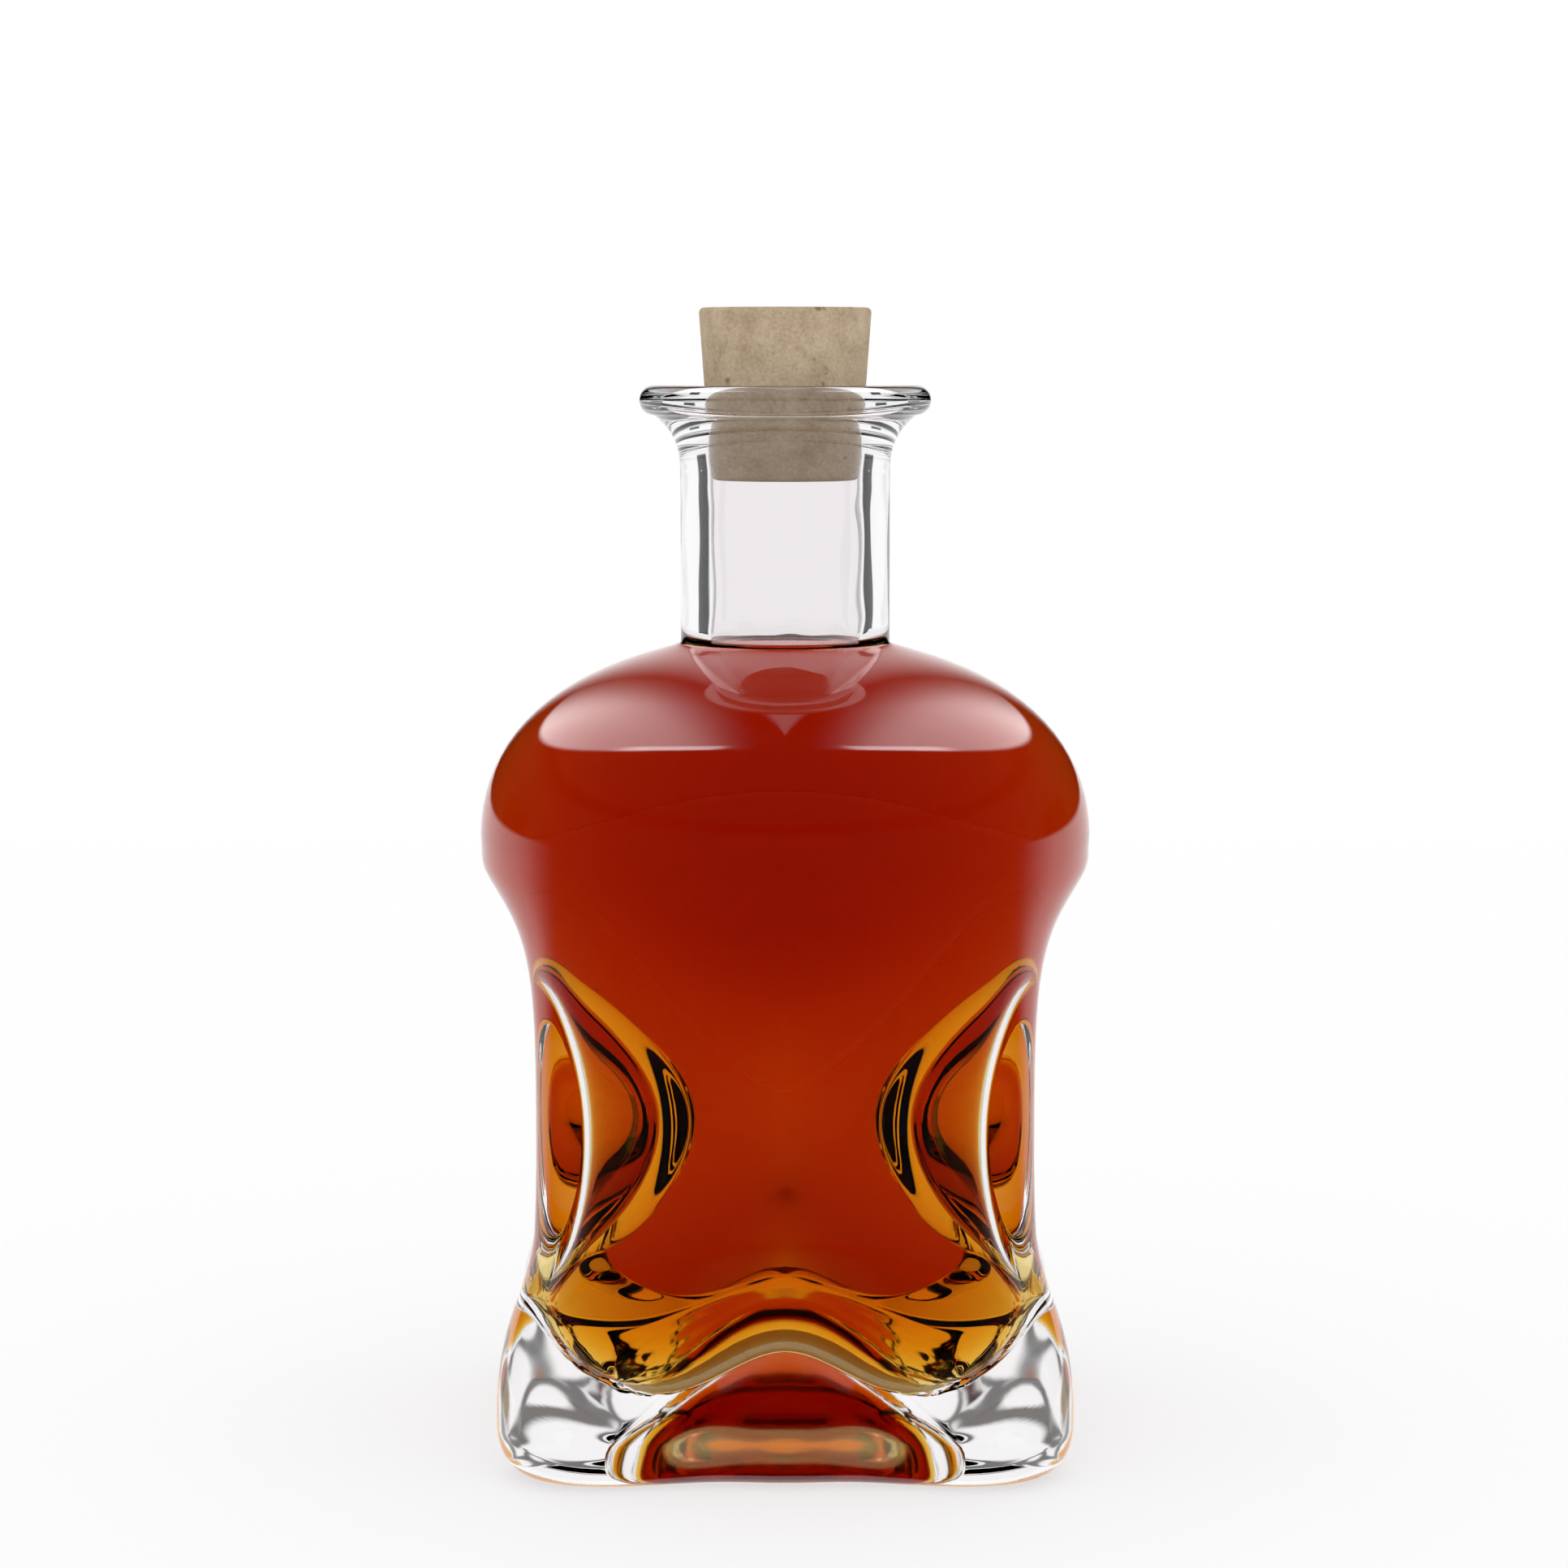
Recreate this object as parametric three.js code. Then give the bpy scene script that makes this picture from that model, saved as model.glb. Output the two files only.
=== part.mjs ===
// A squat clear-glass bottle with a dented body, its tapered cork and its filling.
// Millimetres, +Z up. The origin is at the middle of the base, on the surface the bottle stands on.
// The front, with the shallower dent, faces -Y. The two deep dents face -X and +X.
import * as THREE from 'three';
import { mergeVertices } from 'three/addons/utils/BufferGeometryUtils.js';

// Outer heights and radii of the round parts
const bottleHeight = 134.4;
const shoulderHeight = 75.7;
const shoulderRadius = 38.95;
const domeHeight = 26;
const domeFullness = 2.3;
const neckRadius = 13.4;
const neckBlend = 4;
const rimRadius = 18.6;
const rimThickness = 3.8;
const rimFlareHeight = 8;
const rimFlareSharpness = 3;
const mouthEdgeRadius = 0.9;

// The body below the shoulder: four ridges at the corners, four dents between them
const ridgeRadius = 40.3;
const dentHeight = 42;
const dentReachUp = 32;
const dentReachDown = 38;
const sideDentDepth = 21;
const frontDentDepth = 13.4;
const dentFullness = 1.5;

// The foot: a rounded square with a flat panel in each side, raised in a dome underneath
const footRidgeRadius = 46.4;
const footFlatRadius = 35.2;
const footFlareTop = 30;
const footFlareBottom = 7;
const footEdgeWidth = 4.4;
const footEdgeHeight = 6;
const footPanelFlatness = 2;
const baseHollowDepth = 11;
const baseHollowShare = 0.76;
const baseHollowFullness = 2.6;

// Glass thickness and the inside
const bodyWall = 3.5;
const ridgeThickening = 5.3;
const ridgeNarrowness = 3;
const footWall = 4.6;
const boreRadius = 9.6;
const cavityFloorRound = 9;
const floorAtPockets = 9.6;
const floorAtFront = 13.6;
const floorAtBack = 16.6;
const floorAtSides = 15.2;
const floorAtMiddle = 16;

// The filling
const liquidLevel = 101;
const liquidGap = 0.3;

// The cork
const corkLength = 21.8;
const corkTopRadius = 11.05;
const corkInsertion = 12;
const corkClearance = 0.15;
const corkEdge = 0.5;

// Fineness of the faceted surfaces
const segmentsAround = 56;
const corkSegments = 40;
const bodySteps = 16;
const domeSteps = 9;
const footEdgeSteps = 4;
const hollowSteps = 8;
const floorSteps = 4;
const foldSteps = 5;
const flareSteps = 4;
const beadSteps = 6;
const mouthEdgeSteps = 3;
const slopeStep = 0.001;

function mix(a, b, t) {
  return a + (b - a) * t;
}

function smoothStep(from, to, value) {
  const t = Math.min(1, Math.max(0, (value - from) / (to - from)));
  return t * t * (3 - 2 * t);
}

// A quarter of a superellipse: 1 at the foot of the dome, 0 at its top.
function domeShare(height, fullHeight) {
  const t = Math.min(1, Math.max(0, height / fullHeight));
  return Math.pow(1 - Math.pow(t, domeFullness), 1 / domeFullness);
}

// The larger of two radii, with a fillet where they are alike.
function blendedMax(a, b) {
  return Math.pow(Math.pow(a, neckBlend) + Math.pow(b, neckBlend), 1 / neckBlend);
}

// Values from one end to the other in equal steps, both ends included.
function evenly(from, to, steps) {
  return Array.from({ length: steps + 1 }, (unused, step) => mix(from, to, step / steps));
}

// How far a dent is pressed in at a height: 1 at its deepest, 0 past its reach.
function dentShare(z) {
  const reach = z > dentHeight ? dentReachUp : dentReachDown;
  const t = Math.min(1, Math.abs(z - dentHeight) / reach);
  return Math.pow(1 - t * t, dentFullness);
}

// How much of the foot's shape a height has: 1 in the foot, 0 in the body.
function footShare(z) {
  return 1 - smoothStep(footFlareBottom, footFlareTop, z);
}

// How much thicker than the rest the glass is in the ridges between the dents.
function ridgeThickness(angle, z) {
  const alongRidge = Math.pow(Math.abs(Math.sin(2 * angle)), ridgeNarrowness);
  return ridgeThickening * alongRidge * dentShare(z);
}

// How far the foot's lower edge is rounded in.
function footEdgeInset(z) {
  const t = Math.min(1, Math.max(0, 1 - z / footEdgeHeight));
  return footEdgeWidth * (1 - Math.sqrt(1 - t * t));
}

// Outer radius of the body, below the shoulder, in the direction of an angle.
function bodyRadius(angle, z) {
  const facesSide = Math.abs(Math.cos(angle)) > Math.abs(Math.sin(angle));
  const depth = facesSide ? sideDentDepth : frontDentDepth;
  const roundness = smoothStep(dentHeight, shoulderHeight, z);
  const bodyRidge = mix(ridgeRadius, shoulderRadius, roundness);
  const ridge = mix(bodyRidge, footRidgeRadius, footShare(z));
  const flat = mix(bodyRidge - depth * dentShare(z), footFlatRadius, footShare(z));
  const acrossBody = Math.pow(Math.cos(2 * angle), 2);
  const acrossFoot = 1 - Math.pow(1 - acrossBody, footPanelFlatness);
  return mix(ridge, flat, mix(acrossBody, acrossFoot, footShare(z))) - footEdgeInset(z);
}

// The rim is a rounded bead on the flared end of the neck.
const beadRadius = rimThickness / 2;
const beadCentreRadius = rimRadius - beadRadius;
const beadCentreHeight = bottleHeight - beadRadius;
const rimBottom = bottleHeight - rimThickness;
const flareBottom = rimBottom - rimFlareHeight;

// Outer radius of the shoulder, neck and flare, which are round.
function upperRadius(z) {
  const dome = shoulderRadius * domeShare(z - shoulderHeight, domeHeight);
  const flare = Math.max(0, (z - flareBottom) / rimFlareHeight);
  return blendedMax(dome, neckRadius) + (beadCentreRadius - neckRadius) * Math.pow(flare, rimFlareSharpness);
}

function outerRadius(angle, z) {
  return z < shoulderHeight ? bodyRadius(angle, z) : upperRadius(z);
}

// Radius of the tapered cork at a height, and of the mouth that holds it.
const corkBottom = bottleHeight - corkInsertion;
const corkBottomRadius = boreRadius - corkClearance;

function corkRadius(z) {
  return mix(corkBottomRadius, corkTopRadius, (z - corkBottom) / corkLength);
}

function mouthRadius(z) {
  return z > corkBottom ? corkRadius(z) + corkClearance : boreRadius;
}

// How much longer the wall is, measured towards the axis, than it is thick: over 1 where it slants.
function wallSlant(angle, z) {
  const radius = bodyRadius(angle, z);
  const along = (bodyRadius(angle + slopeStep, z) - bodyRadius(angle - slopeStep, z)) / (2 * slopeStep);
  const up = (bodyRadius(angle, z + slopeStep) - bodyRadius(angle, z - slopeStep)) / (2 * slopeStep);
  return Math.hypot(1, along / radius, up);
}

// The cavity under the shoulder is a smaller dome. A clearance makes room for the filling's own surface.
const innerDomeHeight = domeHeight - bodyWall;
const innerShoulderRadius = shoulderRadius - bodyWall;

function cavityRadius(angle, z, clearance) {
  if (z < shoulderHeight) {
    const wall = mix(bodyWall, footWall, footShare(z)) + ridgeThickness(angle, z) + clearance;
    return bodyRadius(angle, z) - wall * wallSlant(angle, z);
  }
  const share = domeShare(z - shoulderHeight, innerDomeHeight - clearance);
  const dome = (innerShoulderRadius - clearance) * share;
  const bore = mouthRadius(z) - clearance;
  const filletFade = smoothStep(0, innerDomeHeight / 2, z - shoulderHeight);
  return mix(dome, blendedMax(dome, bore), filletFade);
}

// Height of the cavity's floor near the wall: high at the four flats, low in the corner pockets.
function floorHeight(angle) {
  const acrossCorner = Math.pow(Math.sin(2 * angle), 2);
  const front = Math.sin(angle) < 0 ? floorAtFront : floorAtBack;
  const flat = mix(floorAtSides, front, Math.pow(Math.sin(angle), 2));
  return mix(flat, floorAtPockets, acrossCorner);
}

// A ring is a function of the angle that gives [radius, height].
function roundRing(radius, z) {
  return () => [radius, z];
}

// Where the cavity's wall ends and the fold into its floor starts.
function foldStart(angle) {
  return floorHeight(angle) + cavityFloorRound;
}

// The cavity's floor from its middle outwards, then the fold up to the wall.
function floorRings(clearance) {
  const rings = [];
  const foldFoot = (angle) => cavityRadius(angle, foldStart(angle), clearance) - cavityFloorRound;
  for (const share of evenly(0, 1, floorSteps).slice(1, -1)) {
    rings.push((angle) => {
      const z = mix(floorAtMiddle, floorHeight(angle), smoothStep(0, 1, share));
      return [foldFoot(angle) * share, z + clearance];
    });
  }
  for (const turn of evenly(0, Math.PI / 2, foldSteps)) {
    rings.push((angle) => {
      const radius = foldFoot(angle) + cavityFloorRound * Math.sin(turn);
      return [radius, foldStart(angle) - cavityFloorRound * Math.cos(turn) + clearance];
    });
  }
  return rings;
}

// The cavity's wall from the fold up to the shoulder, then under the dome to the foot of the neck.
function wallRings(clearance) {
  const rings = [];
  for (const share of evenly(0, 1, bodySteps).slice(1)) {
    rings.push((angle) => {
      const z = mix(foldStart(angle), shoulderHeight, share);
      return [cavityRadius(angle, z, clearance), z];
    });
  }
  for (const turn of evenly(0, Math.PI / 2, domeSteps).slice(1)) {
    const z = shoulderHeight + (innerDomeHeight - clearance) * Math.sin(turn);
    rings.push((angle) => [cavityRadius(angle, z, clearance), z]);
  }
  return rings;
}

// The hollow under the base, from its middle out to the ring that the bottle stands on.
function hollowRings() {
  const rings = [];
  for (const share of evenly(0, 1, hollowSteps).slice(1)) {
    const z = baseHollowDepth * (1 - Math.pow(share, baseHollowFullness));
    rings.push((angle) => [share * baseHollowShare * bodyRadius(angle, 0), z]);
  }
  return rings;
}

// The outside from the edge of the base up to the top of the dome.
function outsideRings() {
  const rings = [];
  for (const turn of evenly(0, Math.PI / 2, footEdgeSteps)) {
    const z = footEdgeHeight * (1 - Math.cos(turn));
    rings.push((angle) => [bodyRadius(angle, z), z]);
  }
  for (const z of evenly(footEdgeHeight, shoulderHeight, bodySteps).slice(1)) {
    rings.push((angle) => [outerRadius(angle, z), z]);
  }
  for (const turn of evenly(0, Math.PI / 2, domeSteps).slice(1)) {
    const z = shoulderHeight + domeHeight * Math.sin(turn);
    rings.push(roundRing(upperRadius(z), z));
  }
  return rings;
}

// The neck's flare, the bead of the rim, and the rounded edge of the mouth down to the cork's foot.
function neckRings() {
  const rings = [];
  for (const z of evenly(flareBottom, rimBottom, flareSteps)) {
    rings.push(roundRing(upperRadius(z), z));
  }
  for (const turn of evenly(-Math.PI / 2, Math.PI / 2, beadSteps).slice(1)) {
    const radius = beadCentreRadius + beadRadius * Math.cos(turn);
    rings.push(roundRing(radius, beadCentreHeight + beadRadius * Math.sin(turn)));
  }
  const edgeHeight = bottleHeight - mouthEdgeRadius;
  for (const turn of evenly(Math.PI / 2, 0, mouthEdgeSteps)) {
    const radius = mouthRadius(edgeHeight) + mouthEdgeRadius * (1 - Math.cos(turn));
    rings.push(roundRing(radius, edgeHeight + mouthEdgeRadius * Math.sin(turn)));
  }
  rings.push(roundRing(boreRadius, corkBottom));
  return rings;
}

// A closed surface from rings that run outwards and up from a lower point on the axis to another.
// Each four-sided facet is split from its lower to its upper corner, whichever way the rings run there,
// so the facets of the filling lie along those of the cavity.
function closedSurface(rings, firstHeight, lastHeight, segments) {
  const positions = [];
  const index = [];
  for (const ring of rings) {
    for (let k = 0; k < segments; k += 1) {
      const angle = (2 * Math.PI * k) / segments;
      const [radius, z] = ring(angle);
      positions.push(radius * Math.cos(angle), radius * Math.sin(angle), z);
    }
  }
  positions.push(0, 0, firstHeight, 0, 0, lastHeight);
  const firstPole = rings.length * segments;
  const lastPole = firstPole + 1;
  const lastRing = firstPole - segments;
  for (let k = 0; k < segments; k += 1) {
    const next = (k + 1) % segments;
    index.push(firstPole, next, k);
    for (let a = 0; a < lastRing; a += segments) {
      const b = a + segments;
      const rises = positions[3 * (b + k) + 2] > positions[3 * (a + k) + 2];
      if (rises) {
        index.push(a + k, a + next, b + next, a + k, b + next, b + k);
      } else {
        index.push(a + k, a + next, b + k, a + next, b + next, b + k);
      }
    }
    index.push(lastPole, lastRing + k, lastRing + next);
  }
  const geometry = new THREE.BufferGeometry();
  geometry.setAttribute('position', new THREE.Float32BufferAttribute(positions, 3));
  geometry.setIndex(index);
  return mergeVertices(geometry);
}

// The bottle: one piece of glass, from the hollow under its base round to the floor of its cavity.
function bottleGeometry() {
  const inside = [...floorRings(0), ...wallRings(0)].reverse();
  const rings = [...hollowRings(), ...outsideRings(), ...neckRings(), ...inside];
  return closedSurface(rings, baseHollowDepth, floorAtMiddle, segmentsAround);
}

// The filling: it follows the cavity and stops level in the foot of the neck.
function liquidGeometry() {
  const surface = roundRing(boreRadius - liquidGap, liquidLevel);
  const rings = [...floorRings(liquidGap), ...wallRings(liquidGap), surface];
  return closedSurface(rings, floorAtMiddle + liquidGap, liquidLevel, segmentsAround);
}

// The cork: a tapered plug with softened edges.
function corkGeometry() {
  const corkTop = corkBottom + corkLength;
  const rings = [
    roundRing(corkRadius(corkBottom) - corkEdge, corkBottom),
    roundRing(corkRadius(corkBottom + corkEdge), corkBottom + corkEdge),
    roundRing(corkRadius(corkTop - corkEdge), corkTop - corkEdge),
    roundRing(corkTopRadius - corkEdge, corkTop),
  ];
  return closedSurface(rings, corkBottom, corkTop, corkSegments);
}

function piece(name, geometry, color, roughness) {
  const material = new THREE.MeshStandardMaterial({ color, roughness, metalness: 0 });
  const mesh = new THREE.Mesh(geometry, material);
  mesh.name = name;
  return mesh;
}

const glassBottle = new THREE.Group();
glassBottle.add(piece('bottle', bottleGeometry(), '#e6e8e8', 0.02));
glassBottle.add(piece('liquid', liquidGeometry(), '#8c1a05', 0.05));
glassBottle.add(piece('cork', corkGeometry(), '#ac9c82', 0.85));

export default glassBottle;
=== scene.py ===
"""A squat clear-glass bottle with four dents, its cork and its red-amber filling.

The glass is turned from one profile and then pressed in at its four flats, as the real one is.
Sizes are in millimetres and are turned into metres where a mesh is made. The front faces -Y.
"""
import math

import bpy
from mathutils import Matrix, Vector, noise


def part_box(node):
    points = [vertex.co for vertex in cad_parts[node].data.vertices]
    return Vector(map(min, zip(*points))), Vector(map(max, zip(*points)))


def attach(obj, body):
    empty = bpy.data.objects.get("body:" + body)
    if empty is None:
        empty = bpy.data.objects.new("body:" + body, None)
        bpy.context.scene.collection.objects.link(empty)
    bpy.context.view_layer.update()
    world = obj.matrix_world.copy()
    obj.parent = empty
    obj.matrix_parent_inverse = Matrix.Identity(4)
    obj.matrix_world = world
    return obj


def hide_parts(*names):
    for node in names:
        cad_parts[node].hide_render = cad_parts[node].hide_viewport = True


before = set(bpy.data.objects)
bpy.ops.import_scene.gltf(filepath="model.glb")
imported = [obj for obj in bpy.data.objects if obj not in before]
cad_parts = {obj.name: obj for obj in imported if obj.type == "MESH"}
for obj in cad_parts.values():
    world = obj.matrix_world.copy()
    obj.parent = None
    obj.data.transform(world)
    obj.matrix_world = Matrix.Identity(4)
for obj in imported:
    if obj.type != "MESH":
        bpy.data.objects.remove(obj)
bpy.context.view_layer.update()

MM = 0.001

# Heights that the solids give
BOTTLE_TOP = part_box("bottle")[1].z / MM
LIQUID_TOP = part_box("liquid")[1].z / MM
CORK_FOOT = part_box("cork")[0].z / MM
CORK_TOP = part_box("cork")[1].z / MM
SHOULDER_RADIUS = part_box("bottle")[1].x / MM
CORK_TOP_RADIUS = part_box("cork")[1].x / MM

# Round parts of the glass
SHOULDER_HEIGHT = 75.7
DOME_HEIGHT = 26
DOME_FULLNESS = 2.3
NECK_RADIUS = 13.4
NECK_BLEND = 4
RIM_RADIUS = 18.6
RIM_THICKNESS = 3.8
FLARE_HEIGHT = 8
FLARE_SHARPNESS = 3
MOUTH_EDGE = 0.9

# Ridges and dents of the body
RIDGE_RADIUS = 40.3
DENT_HEIGHT = 42
DENT_REACH_UP = 32
DENT_REACH_DOWN = 38
SIDE_DENT = 21
FRONT_DENT = 13.4
DENT_FULLNESS = 1.5

# The foot
FOOT_RIDGE = 46.4
FOOT_FLAT = 35.2
FOOT_FLARE_TOP = 30
FOOT_FLARE_BOTTOM = 7
FOOT_EDGE_WIDTH = 4.4
FOOT_EDGE_HEIGHT = 6
PANEL_FLATNESS = 2
HOLLOW_DEPTH = 11
HOLLOW_SHARE = 0.76
HOLLOW_FULLNESS = 2.6

# The inside
BODY_WALL = 3.5
RIDGE_THICKENING = 5.3
RIDGE_NARROWNESS = 3
FOOT_WALL = 4.6
BORE_RADIUS = 9.6
FLOOR_ROUND = 9
FLOOR_POCKETS = 9.6
FLOOR_FRONT = 13.6
FLOOR_BACK = 16.6
FLOOR_SIDES = 15.2
FLOOR_MIDDLE = 16
CORK_CLEARANCE = 0.15

# The filling lies a hair inside the glass, and creeps up the bore in a meniscus
LIQUID_SKIN = 0.02
MENISCUS_RISE = 0.8
MENISCUS_REACH = 1.0
FLAT_SURFACE_RADIUS = 3

# The cork's rounded edges
CORK_EDGE = 0.7

# The unevenness of the floor's pockets and of the neck's inside
POCKET_RIPPLE = 0.16
POCKET_FOLD = 1.9
POCKET_INNER = (14, 22)
POCKET_OUTER = (30, 36)
RIPPLE = 0.10
RIPPLE_BOTTOM = 102.5
RIPPLE_TOP = 121.5
RIPPLE_FADE = 3

# Fineness
AROUND = 224
AROUND_CORK = 128
BODY_STEPS = 56
DOME_STEPS = 24
SLOPE_STEP = 0.001
MERGE_DISTANCE = 0.002

# How strongly glass and filling bend light
GLASS_IOR = 1.52
LIQUID_IOR = 1.36

# Colours of the glass, of its bore above the filling, of its underside and of the filling; the bore's
# lilac grey is painted shade, the greyer view through the empty neck, and the underside's gold is
# painted amber light, the light through the filling that falls on the floor beneath
CLEAR_GLASS = (0.98, 0.97, 0.975, 1)
PAINTED_LILAC_GREY_SHADE = (0.909, 0.883, 0.890, 1)
BASE_PAINTED_AMBER_LIGHT = (1.0, 0.78, 0.30, 1)
RED_AMBER = (0.938, 0.737, 0.0, 1)
RED_AMBER_DENSITY = 300
BASE_ROUGHNESS = 0.09

# The glass's materials, in their order on the piece
OUTSIDE, AGAINST_LIQUID, UNDERSIDE, BORE = range(4)


def mix(a, b, t):
    return a + (b - a) * t


def smooth_step(low, high, value):
    t = min(1, max(0, (value - low) / (high - low)))
    return t * t * (3 - 2 * t)


def evenly(start, end, steps):
    return [mix(start, end, step / steps) for step in range(steps + 1)]


def dome_share(height, full_height):
    t = min(1, max(0, height / full_height))
    return (1 - t ** DOME_FULLNESS) ** (1 / DOME_FULLNESS)


def blended_max(a, b):
    return (a ** NECK_BLEND + b ** NECK_BLEND) ** (1 / NECK_BLEND)


def dent_share(z):
    reach = DENT_REACH_UP if z > DENT_HEIGHT else DENT_REACH_DOWN
    t = min(1, abs(z - DENT_HEIGHT) / reach)
    return (1 - t * t) ** DENT_FULLNESS


def foot_share(z):
    return 1 - smooth_step(FOOT_FLARE_BOTTOM, FOOT_FLARE_TOP, z)


def ridge_thickness(angle, z):
    return RIDGE_THICKENING * abs(math.sin(2 * angle)) ** RIDGE_NARROWNESS * dent_share(z)


def foot_edge_inset(z):
    t = min(1, max(0, 1 - z / FOOT_EDGE_HEIGHT))
    return FOOT_EDGE_WIDTH * (1 - math.sqrt(1 - t * t))


def body_radius(angle, z):
    """Outer radius under the shoulder: full at the ridges, less at the four flats."""
    depth = SIDE_DENT if abs(math.cos(angle)) > abs(math.sin(angle)) else FRONT_DENT
    body_ridge = mix(RIDGE_RADIUS, SHOULDER_RADIUS, smooth_step(DENT_HEIGHT, SHOULDER_HEIGHT, z))
    ridge = mix(body_ridge, FOOT_RIDGE, foot_share(z))
    flat = mix(body_ridge - depth * dent_share(z), FOOT_FLAT, foot_share(z))
    across_body = math.cos(2 * angle) ** 2
    across_foot = 1 - (1 - across_body) ** PANEL_FLATNESS
    return mix(ridge, flat, mix(across_body, across_foot, foot_share(z))) - foot_edge_inset(z)


BEAD = RIM_THICKNESS / 2
BEAD_CENTRE = RIM_RADIUS - BEAD
RIM_BOTTOM = BOTTLE_TOP - RIM_THICKNESS
FLARE_BOTTOM = RIM_BOTTOM - FLARE_HEIGHT
RIDGE_ANGLE = math.radians(45)
HOLLOW_RADIUS = HOLLOW_SHARE * body_radius(RIDGE_ANGLE, 0)


def upper_radius(z):
    dome = SHOULDER_RADIUS * dome_share(z - SHOULDER_HEIGHT, DOME_HEIGHT)
    flare = max(0, (z - FLARE_BOTTOM) / FLARE_HEIGHT)
    return blended_max(dome, NECK_RADIUS) + (BEAD_CENTRE - NECK_RADIUS) * flare ** FLARE_SHARPNESS


def cork_radius(z):
    foot = BORE_RADIUS - CORK_CLEARANCE
    return mix(foot, CORK_TOP_RADIUS, (z - CORK_FOOT) / (CORK_TOP - CORK_FOOT))


def mouth_radius(z):
    return cork_radius(z) + CORK_CLEARANCE if z > CORK_FOOT else BORE_RADIUS


def wall_slant(angle, z):
    radius = body_radius(angle, z)
    step = SLOPE_STEP
    along = (body_radius(angle + step, z) - body_radius(angle - step, z)) / (2 * step * radius)
    up = (body_radius(angle, z + step) - body_radius(angle, z - step)) / (2 * step)
    return math.sqrt(1 + along * along + up * up)


def cavity_radius(angle, z, clearance):
    if z < SHOULDER_HEIGHT:
        wall = mix(BODY_WALL, FOOT_WALL, foot_share(z)) + ridge_thickness(angle, z) + clearance
        return body_radius(angle, z) - wall * wall_slant(angle, z)
    inner_height = DOME_HEIGHT - BODY_WALL
    share = dome_share(z - SHOULDER_HEIGHT, inner_height - clearance)
    dome = (SHOULDER_RADIUS - BODY_WALL - clearance) * share
    fade = smooth_step(0, inner_height / 2, z - SHOULDER_HEIGHT)
    return mix(dome, blended_max(dome, mouth_radius(z) - clearance), fade)


def floor_height(angle):
    front = FLOOR_FRONT if math.sin(angle) < 0 else FLOOR_BACK
    flat = mix(FLOOR_SIDES, front, math.sin(angle) ** 2)
    return mix(flat, FLOOR_POCKETS, math.sin(2 * angle) ** 2)


def fold_start(angle):
    return floor_height(angle) + FLOOR_ROUND


def fold_foot(angle, clearance):
    return cavity_radius(angle, fold_start(angle), clearance) - FLOOR_ROUND


# Profiles, as seen in a cut through two opposite ridges. A point is (radius, height).

def floor_profile(clearance):
    foot = fold_foot(RIDGE_ANGLE, clearance)
    start = fold_start(RIDGE_ANGLE)
    points = [(0, FLOOR_MIDDLE + clearance)]
    for share in evenly(0, 1, 20)[1:-1]:
        z = mix(FLOOR_MIDDLE, FLOOR_POCKETS, smooth_step(0, 1, share))
        points.append((foot * share, z + clearance))
    for turn in evenly(0, math.pi / 2, 14):
        lift = start - FLOOR_ROUND * math.cos(turn) + clearance
        points.append((foot + FLOOR_ROUND * math.sin(turn), lift))
    return points


def wall_profile(clearance):
    points = []
    for z in evenly(fold_start(RIDGE_ANGLE), SHOULDER_HEIGHT, BODY_STEPS)[1:]:
        points.append((cavity_radius(RIDGE_ANGLE, z, clearance), z))
    for turn in evenly(0, math.pi / 2, DOME_STEPS)[1:]:
        z = SHOULDER_HEIGHT + (DOME_HEIGHT - BODY_WALL - clearance) * math.sin(turn)
        points.append((cavity_radius(RIDGE_ANGLE, z, clearance), z))
    return points


def outside_profile():
    points = []
    for share in evenly(0, 1, 28):
        points.append((HOLLOW_RADIUS * share, HOLLOW_DEPTH * (1 - share ** HOLLOW_FULLNESS)))
    for share in (0.35, 0.7):
        points.append((mix(HOLLOW_RADIUS, body_radius(RIDGE_ANGLE, 0), share), 0))
    for turn in evenly(0, math.pi / 2, 12):
        z = FOOT_EDGE_HEIGHT * (1 - math.cos(turn))
        points.append((body_radius(RIDGE_ANGLE, z), z))
    for z in evenly(FOOT_EDGE_HEIGHT, SHOULDER_HEIGHT, BODY_STEPS)[1:]:
        points.append((body_radius(RIDGE_ANGLE, z), z))
    for turn in evenly(0, math.pi / 2, DOME_STEPS)[1:]:
        z = SHOULDER_HEIGHT + DOME_HEIGHT * math.sin(turn)
        points.append((upper_radius(z), z))
    return points


def neck_profile():
    points = []
    neck_foot = SHOULDER_HEIGHT + DOME_HEIGHT
    for z in evenly(neck_foot, FLARE_BOTTOM, 12)[1:-1]:
        points.append((upper_radius(z), z))
    for z in evenly(FLARE_BOTTOM, RIM_BOTTOM, 12):
        points.append((upper_radius(z), z))
    for turn in evenly(-math.pi / 2, math.pi / 2, 16)[1:]:
        points.append((BEAD_CENTRE + BEAD * math.cos(turn), BOTTLE_TOP - BEAD + BEAD * math.sin(turn)))
    edge = BOTTLE_TOP - MOUTH_EDGE
    for turn in evenly(math.pi / 2, 0, 8):
        radius = mouth_radius(edge) + MOUTH_EDGE * (1 - math.cos(turn))
        points.append((radius, edge + MOUTH_EDGE * math.sin(turn)))
    for z in evenly(edge, CORK_FOOT, 8)[1:]:
        points.append((mouth_radius(z), z))
    bore_foot = SHOULDER_HEIGHT + DOME_HEIGHT - BODY_WALL
    for z in evenly(CORK_FOOT, bore_foot, 40)[1:-1]:
        points.append((BORE_RADIUS, z))
    return points


# Modelling by hand: a chain of points is turned round the axis, then pressed into shape.

def deselect():
    if bpy.context.object and bpy.context.object.mode == "EDIT":
        bpy.ops.object.mode_set(mode="OBJECT")
    bpy.ops.object.select_all(action="DESELECT")


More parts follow.
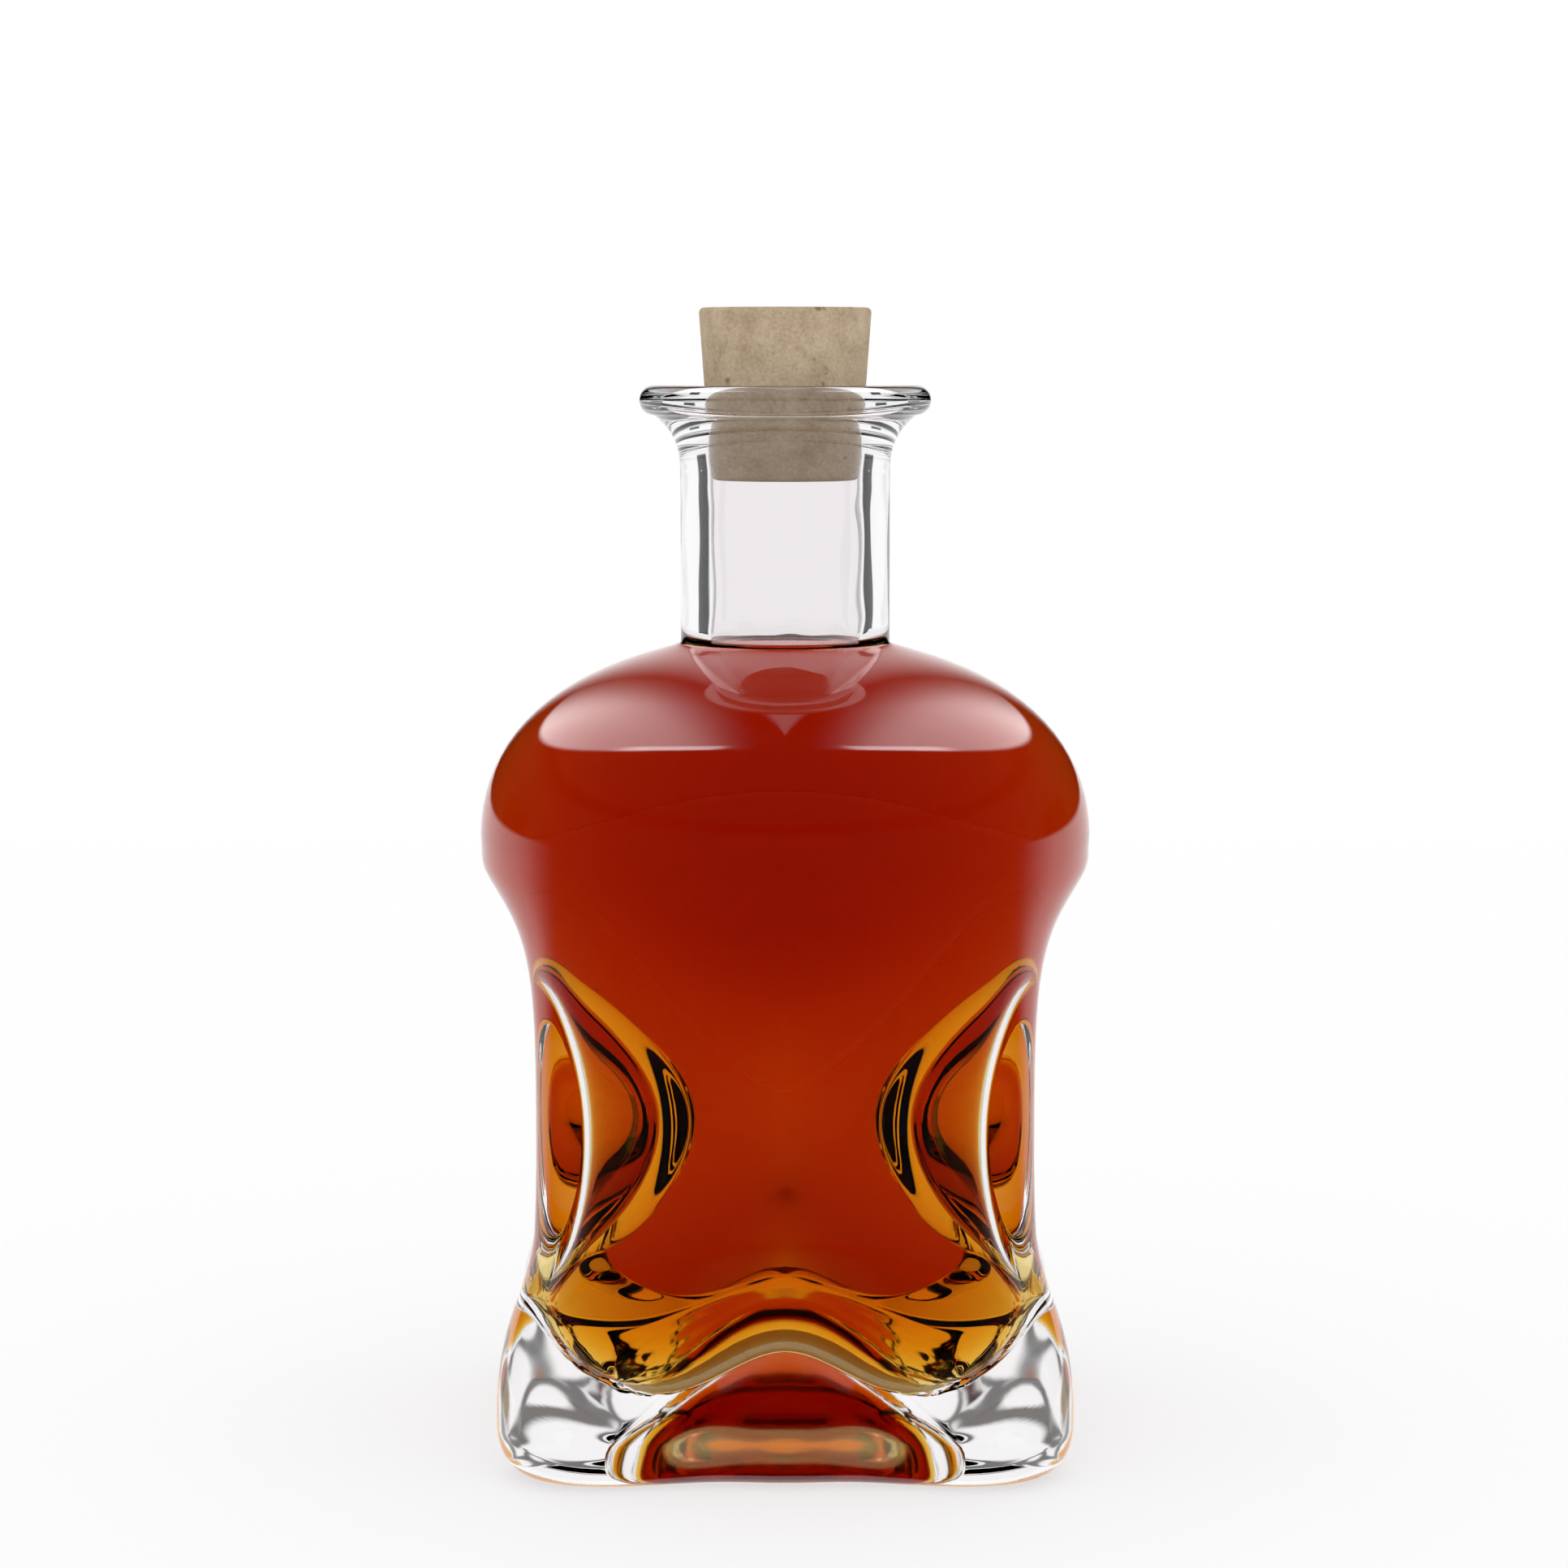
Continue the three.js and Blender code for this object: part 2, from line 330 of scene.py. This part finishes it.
def turned(name, profile, around=AROUND):
    """Draws a profile point by point and spins it once round the axis."""
    deselect()
    bpy.ops.mesh.primitive_plane_add(size=MM, location=(0, 0, 0))
    piece = bpy.context.object
    piece.name = name
    piece.data.name = name
    bpy.ops.object.mode_set(mode="EDIT")
    bpy.ops.mesh.select_all(action="SELECT")
    bpy.ops.mesh.merge(type="CENTER")
    start = profile[0]
    bpy.ops.transform.translate(value=(start[0] * MM, 0, start[1] * MM))
    for before, after in zip(profile, profile[1:]):
        move = ((after[0] - before[0]) * MM, 0, (after[1] - before[1]) * MM)
        bpy.ops.mesh.extrude_vertices_move(TRANSFORM_OT_translate={"value": move})
    bpy.ops.mesh.select_all(action="SELECT")
    bpy.ops.mesh.spin(steps=around, angle=2 * math.pi, center=(0, 0, 0), axis=(0, 0, 1))
    bpy.ops.mesh.select_all(action="SELECT")
    bpy.ops.mesh.remove_doubles(threshold=MERGE_DISTANCE * MM)
    bpy.ops.mesh.normals_make_consistent(inside=False)
    bpy.ops.object.mode_set(mode="OBJECT")
    bpy.ops.object.shade_smooth()
    return piece


def pocket_ripple(angle, radius):
    """Fine folds in the pockets of the floor, where the hot glass met its mould."""
    across = math.sin(2 * angle) ** 8
    along = smooth_step(*POCKET_INNER, radius) * (1 - smooth_step(*POCKET_OUTER, radius))
    shifted = radius + 3 * noise.noise(Vector((angle * 9, radius / 6, 0)))
    wave = math.sin(2 * math.pi * shifted / POCKET_FOLD)
    return POCKET_RIPPLE * across * along * wave


def is_cavity(radius, z):
    """Whether a point of the turned glass belongs to the cavity and not to the outside."""
    hollow_share = min(1, radius / HOLLOW_RADIUS)
    hollow = HOLLOW_DEPTH * (1 - hollow_share ** HOLLOW_FULLNESS)
    floor_share = min(1, radius / fold_foot(RIDGE_ANGLE, 0))
    floor = mix(FLOOR_MIDDLE, FLOOR_POCKETS, smooth_step(0, 1, floor_share))
    return z > (hollow + floor) / 2 and radius < body_radius(RIDGE_ANGLE, z) - BODY_WALL / 2


def pressed_cavity(angle, radius, z, clearance):
    """Moves a point of the turned cavity to its place in the dented one."""
    ridge_start = fold_start(RIDGE_ANGLE)
    lift = floor_height(angle) - FLOOR_POCKETS
    if z > ridge_start + 1e-6:
        if z >= SHOULDER_HEIGHT:
            return radius, z
        height = z + lift * (SHOULDER_HEIGHT - z) / (SHOULDER_HEIGHT - ridge_start)
        return cavity_radius(angle, height, clearance), height
    ridge_foot = fold_foot(RIDGE_ANGLE, clearance)
    foot = fold_foot(angle, clearance)
    z += pocket_ripple(angle, radius)
    if radius > ridge_foot:
        return radius + foot - ridge_foot, z + lift
    share = radius / ridge_foot
    return radius * foot / ridge_foot, z + lift * smooth_step(0, 1, share)


def bore_ripple(angle, z):
    """The neck's inside is a little uneven between the filling and the cork."""
    fade = smooth_step(RIPPLE_BOTTOM, RIPPLE_BOTTOM + RIPPLE_FADE, z)
    fade *= 1 - smooth_step(RIPPLE_TOP - RIPPLE_FADE, RIPPLE_TOP, z)
    place = Vector((3 * math.cos(angle), 3 * math.sin(angle), z / 9))
    return RIPPLE * fade * noise.noise(place)


def press_dents(piece, clearance, cavity_only):
    for vertex in piece.data.vertices:
        x, y, z = (value / MM for value in vertex.co)
        radius = math.hypot(x, y)
        if radius < 1e-4:
            continue
        angle = math.atan2(y, x)
        if z >= SHOULDER_HEIGHT:
            if abs(radius - BORE_RADIUS) > 0.1 or cavity_only:
                continue
            radius += bore_ripple(angle, z)
        elif cavity_only or is_cavity(radius, z):
            radius, z = pressed_cavity(angle, radius, z, clearance)
        elif radius <= HOLLOW_RADIUS + 1e-3:
            radius *= body_radius(angle, 0) / body_radius(RIDGE_ANGLE, 0)
        else:
            radius *= body_radius(angle, max(z, 0)) / body_radius(RIDGE_ANGLE, max(z, 0))
        vertex.co = (radius * math.cos(angle) * MM, radius * math.sin(angle) * MM, z * MM)
    piece.data.update()


# Materials

def new_material(name):
    """Gives a new material, its node tree and its shader."""
    material = bpy.data.materials.new(name)
    material.use_nodes = True
    return material, material.node_tree, material.node_tree.nodes["Principled BSDF"]


def math_node(tree, operation, *values):
    """Adds a math node; each of its inputs is a socket or a number."""
    node = tree.nodes.new("ShaderNodeMath")
    node.operation = operation
    for socket, value in zip(node.inputs, values):
        if isinstance(value, bpy.types.NodeSocket):
            tree.links.new(value, socket)
        else:
            socket.default_value = value
    return node.outputs[0]


def product(tree, *values):
    """Multiplies sockets or numbers with each other."""
    result = values[0]
    for value in values[1:]:
        result = math_node(tree, "MULTIPLY", result, value)
    return result


def ramp(tree, value, low, high):
    """Goes smoothly from 0 at low to 1 at high, and low may be the greater of the two."""
    node = tree.nodes.new("ShaderNodeMapRange")
    node.interpolation_type = "SMOOTHSTEP"
    node.inputs["From Min"].default_value = low
    node.inputs["From Max"].default_value = high
    tree.links.new(value, node.inputs["Value"])
    return node.outputs["Result"]


def clear_material(name, colour, ior, roughness=0.0):
    material, tree, shader = new_material(name)
    shader.inputs["Base Color"].default_value = colour
    shader.inputs["Roughness"].default_value = roughness
    shader.inputs["IOR"].default_value = ior
    shader.inputs["Transmission Weight"].default_value = 1.0
    return material, tree, shader


def liquid_material():
    """Takes most of the blue, much of the green and a little of the red from each millimetre.

    It bends light at its open surface only, because the glass's own faces do so at its walls.
    """
    material, tree, shader = clear_material("red_amber_liquid", (1, 1, 1, 1), LIQUID_IOR)
    place = tree.nodes.new("ShaderNodeTexCoord")
    split = tree.nodes.new("ShaderNodeSeparateXYZ")
    tree.links.new(place.outputs["Object"], split.inputs[0])
    above = math_node(tree, "GREATER_THAN", split.outputs["Z"], (LIQUID_TOP - 0.2) * MM)
    index = math_node(tree, "MULTIPLY_ADD", above, LIQUID_IOR - 1, 1)
    tree.links.new(index, shader.inputs["IOR"])
    dye = tree.nodes.new("ShaderNodeVolumeAbsorption")
    dye.inputs["Color"].default_value = RED_AMBER
    dye.inputs["Density"].default_value = RED_AMBER_DENSITY
    tree.links.new(dye.outputs[0], tree.nodes["Material Output"].inputs["Volume"])
    return material


def cork_material():
    """Pale mottled cork with a fine grain and scattered dark pores."""
    material, tree, shader = new_material("pressed_cork")
    place = tree.nodes.new("ShaderNodeTexCoord")
    mottle = tree.nodes.new("ShaderNodeTexNoise")
    mottle.inputs["Scale"].default_value = 260
    mottle.inputs["Detail"].default_value = 6
    mottle.inputs["Roughness"].default_value = 0.65
    tree.links.new(place.outputs["Object"], mottle.inputs["Vector"])
    colours = tree.nodes.new("ShaderNodeValToRGB")
    colours.color_ramp.elements[0].position = 0.32
    colours.color_ramp.elements[0].color = (0.41, 0.30, 0.185, 1)
    colours.color_ramp.elements[1].position = 0.66
    colours.color_ramp.elements[1].color = (0.56, 0.44, 0.30, 1)
    tree.links.new(mottle.outputs["Fac"], colours.inputs["Fac"])
    grain = tree.nodes.new("ShaderNodeTexNoise")
    grain.inputs["Scale"].default_value = 2400
    grain.inputs["Detail"].default_value = 3
    tree.links.new(place.outputs["Object"], grain.inputs["Vector"])
    pores = tree.nodes.new("ShaderNodeTexVoronoi")
    pores.inputs["Scale"].default_value = 420
    pores.inputs["Randomness"].default_value = 1
    tree.links.new(place.outputs["Object"], pores.inputs["Vector"])
    sparse = tree.nodes.new("ShaderNodeTexNoise")
    sparse.inputs["Scale"].default_value = 330
    tree.links.new(place.outputs["Object"], sparse.inputs["Vector"])
    pit = math_node(tree, "MULTIPLY", ramp(tree, pores.outputs["Distance"], 0.30, 0.12),
                    ramp(tree, sparse.outputs["Fac"], 0.52, 0.60))
    dark = tree.nodes.new("ShaderNodeMix")
    dark.data_type = "RGBA"
    dark.inputs["B"].default_value = (0.15, 0.085, 0.045, 1)
    tree.links.new(math_node(tree, "MULTIPLY", pit, 0.75), dark.inputs["Factor"])
    speckled = tree.nodes.new("ShaderNodeMix")
    speckled.data_type = "RGBA"
    speckled.blend_type = "OVERLAY"
    speckled.inputs["Factor"].default_value = 0.35
    tree.links.new(colours.outputs["Color"], speckled.inputs["A"])
    tree.links.new(grain.outputs["Fac"], speckled.inputs["B"])
    tree.links.new(speckled.outputs["Result"], dark.inputs["A"])
    tree.links.new(dark.outputs["Result"], shader.inputs["Base Color"])
    bump = tree.nodes.new("ShaderNodeBump")
    bump.inputs["Strength"].default_value = 0.5
    bump.inputs["Distance"].default_value = 0.1 * MM
    relief = math_node(tree, "SUBTRACT", math_node(tree, "MULTIPLY", grain.outputs["Fac"], 0.4), pit)
    tree.links.new(relief, bump.inputs["Height"])
    tree.links.new(bump.outputs["Normal"], shader.inputs["Normal"])
    shader.inputs["Roughness"].default_value = 0.85
    return material


# Pieces

def glass_part(centre, normal):
    """Which of the glass's materials a face takes, by its place and the way it faces."""
    radius = math.hypot(centre.x, centre.y)
    # The hollow underneath takes painted amber light, standing in for light through the filling that
    # falls on the floor beneath
    if normal.z < -0.3 and radius < HOLLOW_RADIUS and 0.02 < centre.z < HOLLOW_DEPTH + 0.1:
        return UNDERSIDE
    if normal.x * centre.x + normal.y * centre.y >= 0 and normal.z <= 0.3:
        return OUTSIDE
    # The bore above the filling takes painted grey shade, standing in for the greyer view through the
    # empty neck
    if LIQUID_TOP < centre.z < RIM_BOTTOM and radius < BORE_RADIUS + 1:
        return BORE
    if centre.z < SHOULDER_HEIGHT:
        outer = body_radius(math.atan2(centre.y, centre.x), centre.z)
    else:
        outer = upper_radius(centre.z)
    if FLOOR_POCKETS - 0.5 < centre.z < LIQUID_TOP and radius < outer - 1.2:
        return AGAINST_LIQUID
    return OUTSIDE


def make_bottle():
    inside = floor_profile(0) + wall_profile(0)
    piece = turned("bottle_glass", outside_profile() + neck_profile() + inside[::-1])
    press_dents(piece, 0, cavity_only=False)
    for name, colour, ior, roughness in (
        ("clear_glass", CLEAR_GLASS, GLASS_IOR, 0.0),
        ("glass_against_liquid", CLEAR_GLASS, GLASS_IOR / LIQUID_IOR, 0.0),
        # Painted amber light on the underside, for light through the filling onto the floor beneath,
        # with a little roughness
        ("rough_base_painted_amber_light", BASE_PAINTED_AMBER_LIGHT, GLASS_IOR, BASE_ROUGHNESS),
        # Painted grey shade on the bore above the filling, for the greyer view through the empty neck
        ("bore_painted_grey_shade", PAINTED_LILAC_GREY_SHADE, GLASS_IOR, 0.0),
    ):
        piece.data.materials.append(clear_material(name, colour, ior, roughness)[0])
    for face in piece.data.polygons:
        face.material_index = glass_part(face.center / MM, face.normal)
    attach(piece, "bottle")
    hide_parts("bottle")
    return piece


def make_liquid():
    clearance = LIQUID_SKIN
    wall = floor_profile(clearance) + wall_profile(clearance)
    top = []
    edge = BORE_RADIUS - clearance
    for z in evenly(wall[-1][1], LIQUID_TOP + MENISCUS_RISE, 10)[1:]:
        top.append((edge, z))
    for share in evenly(0, 1, 12)[1:]:
        radius = edge - 4 * MENISCUS_REACH * share
        top.append((radius, LIQUID_TOP + MENISCUS_RISE * math.exp(-(edge - radius) / MENISCUS_REACH)))
    top += [(FLAT_SURFACE_RADIUS, LIQUID_TOP), (0, LIQUID_TOP)]
    piece = turned("liquid_fill", wall + top)
    press_dents(piece, clearance, cavity_only=True)
    piece.data.materials.append(liquid_material())
    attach(piece, "bottle")
    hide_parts("liquid")
    return piece


def make_cork():
    points = [(0, CORK_FOOT)]
    for turn in evenly(0, math.pi / 2, 6):
        z = CORK_FOOT + CORK_EDGE * (1 - math.cos(turn))
        points.append((cork_radius(z) - CORK_EDGE * (1 - math.sin(turn)), z))
    for z in evenly(CORK_FOOT + CORK_EDGE, CORK_TOP - CORK_EDGE, 40)[1:]:
        points.append((cork_radius(z), z))
    for turn in evenly(0, math.pi / 2, 6)[1:]:
        z = CORK_TOP - CORK_EDGE * (1 - math.sin(turn))
        points.append((cork_radius(z) - CORK_EDGE * (1 - math.cos(turn)), z))
    points.append((0, CORK_TOP))
    piece = turned("cork_stopper", points, AROUND_CORK)
    piece.data.materials.append(cork_material())
    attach(piece, "stopper")
    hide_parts("cork")
    return piece


# Stage

CAMERA_SIDESTEP = -0.15
CAMERA_DISTANCE = 495
CAMERA_HEIGHT = 138.6
CAMERA_PITCH = 6.38
FOCAL_PIXELS = 4762
PHOTO_WIDTH = 1932
SENSOR = 36

# The world is seen by direction: side is the turn from straight behind, in radians, lift the
# upward share, across the sideways share, and height the upward share tilted towards the back
HEIGHT_TILT = 0.657
UPRIGHT_DARKNESS = 0.92
NECK_DEPTH = 5.5
CARD_DARKNESS = 0.8
CARD_DEPTH = 2.5
EDGE_STRENGTH = 5.0
LAMP_STRENGTH = 2.2

# The floor's size in metres, and how much of it, to the camera, is plain white; the rest takes
# the bottle's shadow
FLOOR_SIZE = 1.2
FLOOR_DROP = 0.2
FLOOR_WHITE = (0.985, 0.985, 0.985, 1)
FLOOR_GLOW = 0.65


def make_camera():
    lens = bpy.data.cameras.new("camera")
    lens.sensor_width = SENSOR
    lens.lens = SENSOR * FOCAL_PIXELS / PHOTO_WIDTH
    camera = bpy.data.objects.new("camera", lens)
    camera.location = (CAMERA_SIDESTEP * MM, -CAMERA_DISTANCE * MM, CAMERA_HEIGHT * MM)
    camera.rotation_euler = (math.radians(90 - CAMERA_PITCH), 0, 0)
    bpy.context.scene.collection.objects.link(camera)
    bpy.context.scene.camera = camera


def make_world():
    """White all round; reflections show a dark room with lamps above and a bright edge.

    Through the clear glass two dark uprights show behind the neck, and a dark card over the feet.
    """
    world = bpy.data.worlds.new("studio")
    world.use_nodes = True
    tree = world.node_tree
    light = tree.nodes["Background"]
    light.inputs["Color"].default_value = (1, 1, 1, 1)
    place = tree.nodes.new("ShaderNodeTexCoord")
    split = tree.nodes.new("ShaderNodeSeparateXYZ")
    tree.links.new(place.outputs["Generated"], split.inputs[0])
    turn = math_node(tree, "ARCTAN2", split.outputs["X"], split.outputs["Y"])
    side = math_node(tree, "ABSOLUTE", turn)
    lift = split.outputs["Z"]
    height = math_node(tree, "ADD", lift, math_node(tree, "MULTIPLY", split.outputs["Y"], HEIGHT_TILT))
    across = math_node(tree, "ABSOLUTE", split.outputs["X"])
    path = tree.nodes.new("ShaderNodeLightPath")
    depth = path.outputs["Transmission Depth"]
    through = path.outputs["Is Transmission Ray"]
    mirror = math_node(tree, "SUBTRACT", path.outputs["Is Glossy Ray"], through)
    mirror = math_node(tree, "MAXIMUM", mirror, 0.0)

    uprights = product(tree, ramp(tree, side, 0.62, 0.68), ramp(tree, side, 1.05, 0.99),
                       ramp(tree, lift, -0.20, -0.16), ramp(tree, lift, 0.14, 0.10),
                       math_node(tree, "LESS_THAN", depth, NECK_DEPTH), UPRIGHT_DARKNESS, through)
    card = product(tree, ramp(tree, lift, 0.32, 0.38), ramp(tree, lift, 0.47, 0.43),
                   math_node(tree, "LESS_THAN", depth, CARD_DEPTH), CARD_DARKNESS, through)

    lamps = product(tree, ramp(tree, height, 0.85, 0.88), ramp(tree, side, 0.10, 0.60),
                    ramp(tree, across, 0.10, 0.40))
    table = product(tree, ramp(tree, lift, 0.0, -0.03), ramp(tree, side, 1.5, 1.0))
    lit = math_node(tree, "MAXIMUM", lamps, table)
    lit = math_node(tree, "MAXIMUM", lit, ramp(tree, side, 0.30, 0.10))
    room = product(tree, math_node(tree, "SUBTRACT", 1.0, lit), mirror)

    edge = product(tree, ramp(tree, height, 0.855, 0.87), ramp(tree, height, 0.91, 0.89),
                   ramp(tree, side, 1.20, 1.40), ramp(tree, side, 2.05, 1.85), EDGE_STRENGTH)
    bright = product(tree, lamps, ramp(tree, across, 0.15, 0.50), LAMP_STRENGTH)
    shine = product(tree, math_node(tree, "ADD", edge, bright), mirror)

    dark = math_node(tree, "MAXIMUM", math_node(tree, "MAXIMUM", uprights, room), card)
    level = math_node(tree, "SUBTRACT", 1.0, dark)
    tree.links.new(math_node(tree, "ADD", level, shine), light.inputs["Strength"])
    bpy.context.scene.world = world


def make_floor():
    bpy.ops.mesh.primitive_plane_add(size=FLOOR_SIZE, location=(0, 0, -FLOOR_DROP * MM))
    floor = bpy.context.object
    floor.name = "floor"
    paint, tree, shader = new_material("white_floor")
    shader.inputs["Base Color"].default_value = FLOOR_WHITE
    shader.inputs["Roughness"].default_value = 0.9
    shader.inputs["Specular IOR Level"].default_value = 0
    glow = tree.nodes.new("ShaderNodeEmission")
    glow.inputs["Color"].default_value = (1, 1, 1, 1)
    both = tree.nodes.new("ShaderNodeMixShader")
    path = tree.nodes.new("ShaderNodeLightPath")
    tree.links.new(product(tree, path.outputs["Is Camera Ray"], FLOOR_GLOW), both.inputs["Fac"])
    tree.links.new(shader.outputs[0], both.inputs[1])
    tree.links.new(glow.outputs[0], both.inputs[2])
    tree.links.new(both.outputs[0], tree.nodes["Material Output"].inputs["Surface"])
    floor.data.materials.append(paint)
    floor.visible_glossy = False


make_camera()
make_world()
make_floor()
make_bottle()
make_liquid()
make_cork()

bpy.context.scene.view_settings.view_transform = "Standard"
